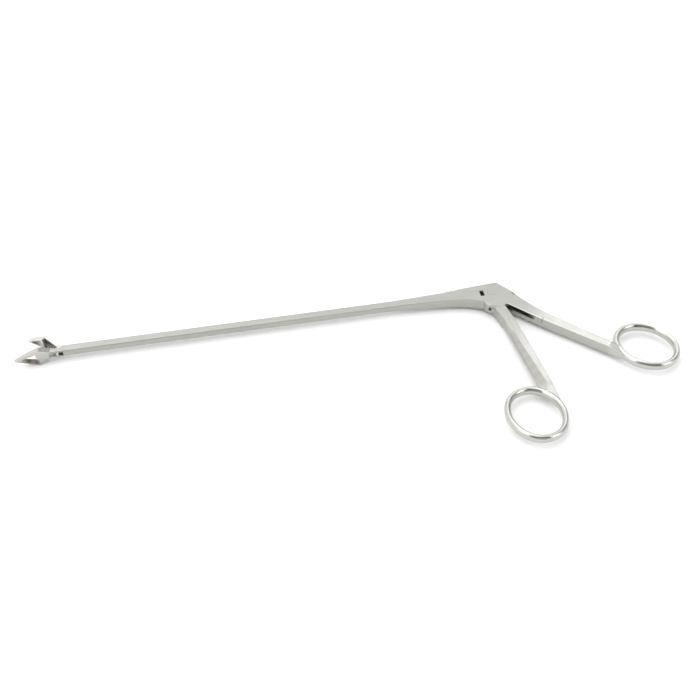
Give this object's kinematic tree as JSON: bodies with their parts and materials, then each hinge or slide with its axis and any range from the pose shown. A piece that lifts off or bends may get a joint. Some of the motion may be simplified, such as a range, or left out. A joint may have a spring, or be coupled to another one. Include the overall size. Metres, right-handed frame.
{
  "type": "biopsy forceps",
  "caption": "Surgical biopsy forceps with a long slender shaft, a fixed open basket jaw, a hinged cutting jaw moved by a push rod, and ring handles.",
  "frame": {"origin": "on the handle pivot's axis, at the hub's lower side face", "axes": "+X along the shaft from the jaws to the hub, +Y away from the handles, +Z across the instrument's width, so it lies on its side"},
  "size_m": [0.2973, 0.1038, 0.0082],
  "materials": {
    "satin_steel": "satin",
    "jaw_steel": "polished",
    "rod_steel": "ground",
    "pin_steel": "turned"
  },
  "bodies": {
    "frame": {"shaft_and_rear_handle": "satin_steel", "groove_cover": "satin_steel", "handle_pivot_pin": "pin_steel", "jaw_pivot_pin": "pin_steel", "rod_guide_pin": "pin_steel", "lower_jaw": "jaw_steel"},
    "handle": {"front_handle": "satin_steel"},
    "rod": {"push_rod": "rod_steel", "front_link_pin": "pin_steel", "rear_link_pin": "pin_steel"},
    "jaw": {"upper_jaw": "jaw_steel"}
  },
  "joints": [
    {"name": "handle_pivot", "type": "hinge", "parent": "frame", "child": "handle", "pos_m": [0, 0, 0.0026], "axis": [0, 0, 1], "range_deg": [0, 13.68]},
    {"name": "rod_slide", "type": "slide", "parent": "frame", "child": "rod", "axis": [-1, 0, 0], "range_m": [0, 0.00134]},
    {"name": "jaw_pivot", "type": "hinge", "parent": "frame", "child": "jaw", "pos_m": [-0.2048, 0.0046, 0.0026], "axis": [0, 0, 1], "range_deg": [0, 42]}
  ],
  "couplings": [
    {"joint": "rod_slide", "follows": "handle_pivot", "m_per_rad": 0.0056268},
    {"joint": "jaw_pivot", "follows": "handle_pivot", "ratio": 3.07}
  ]
}
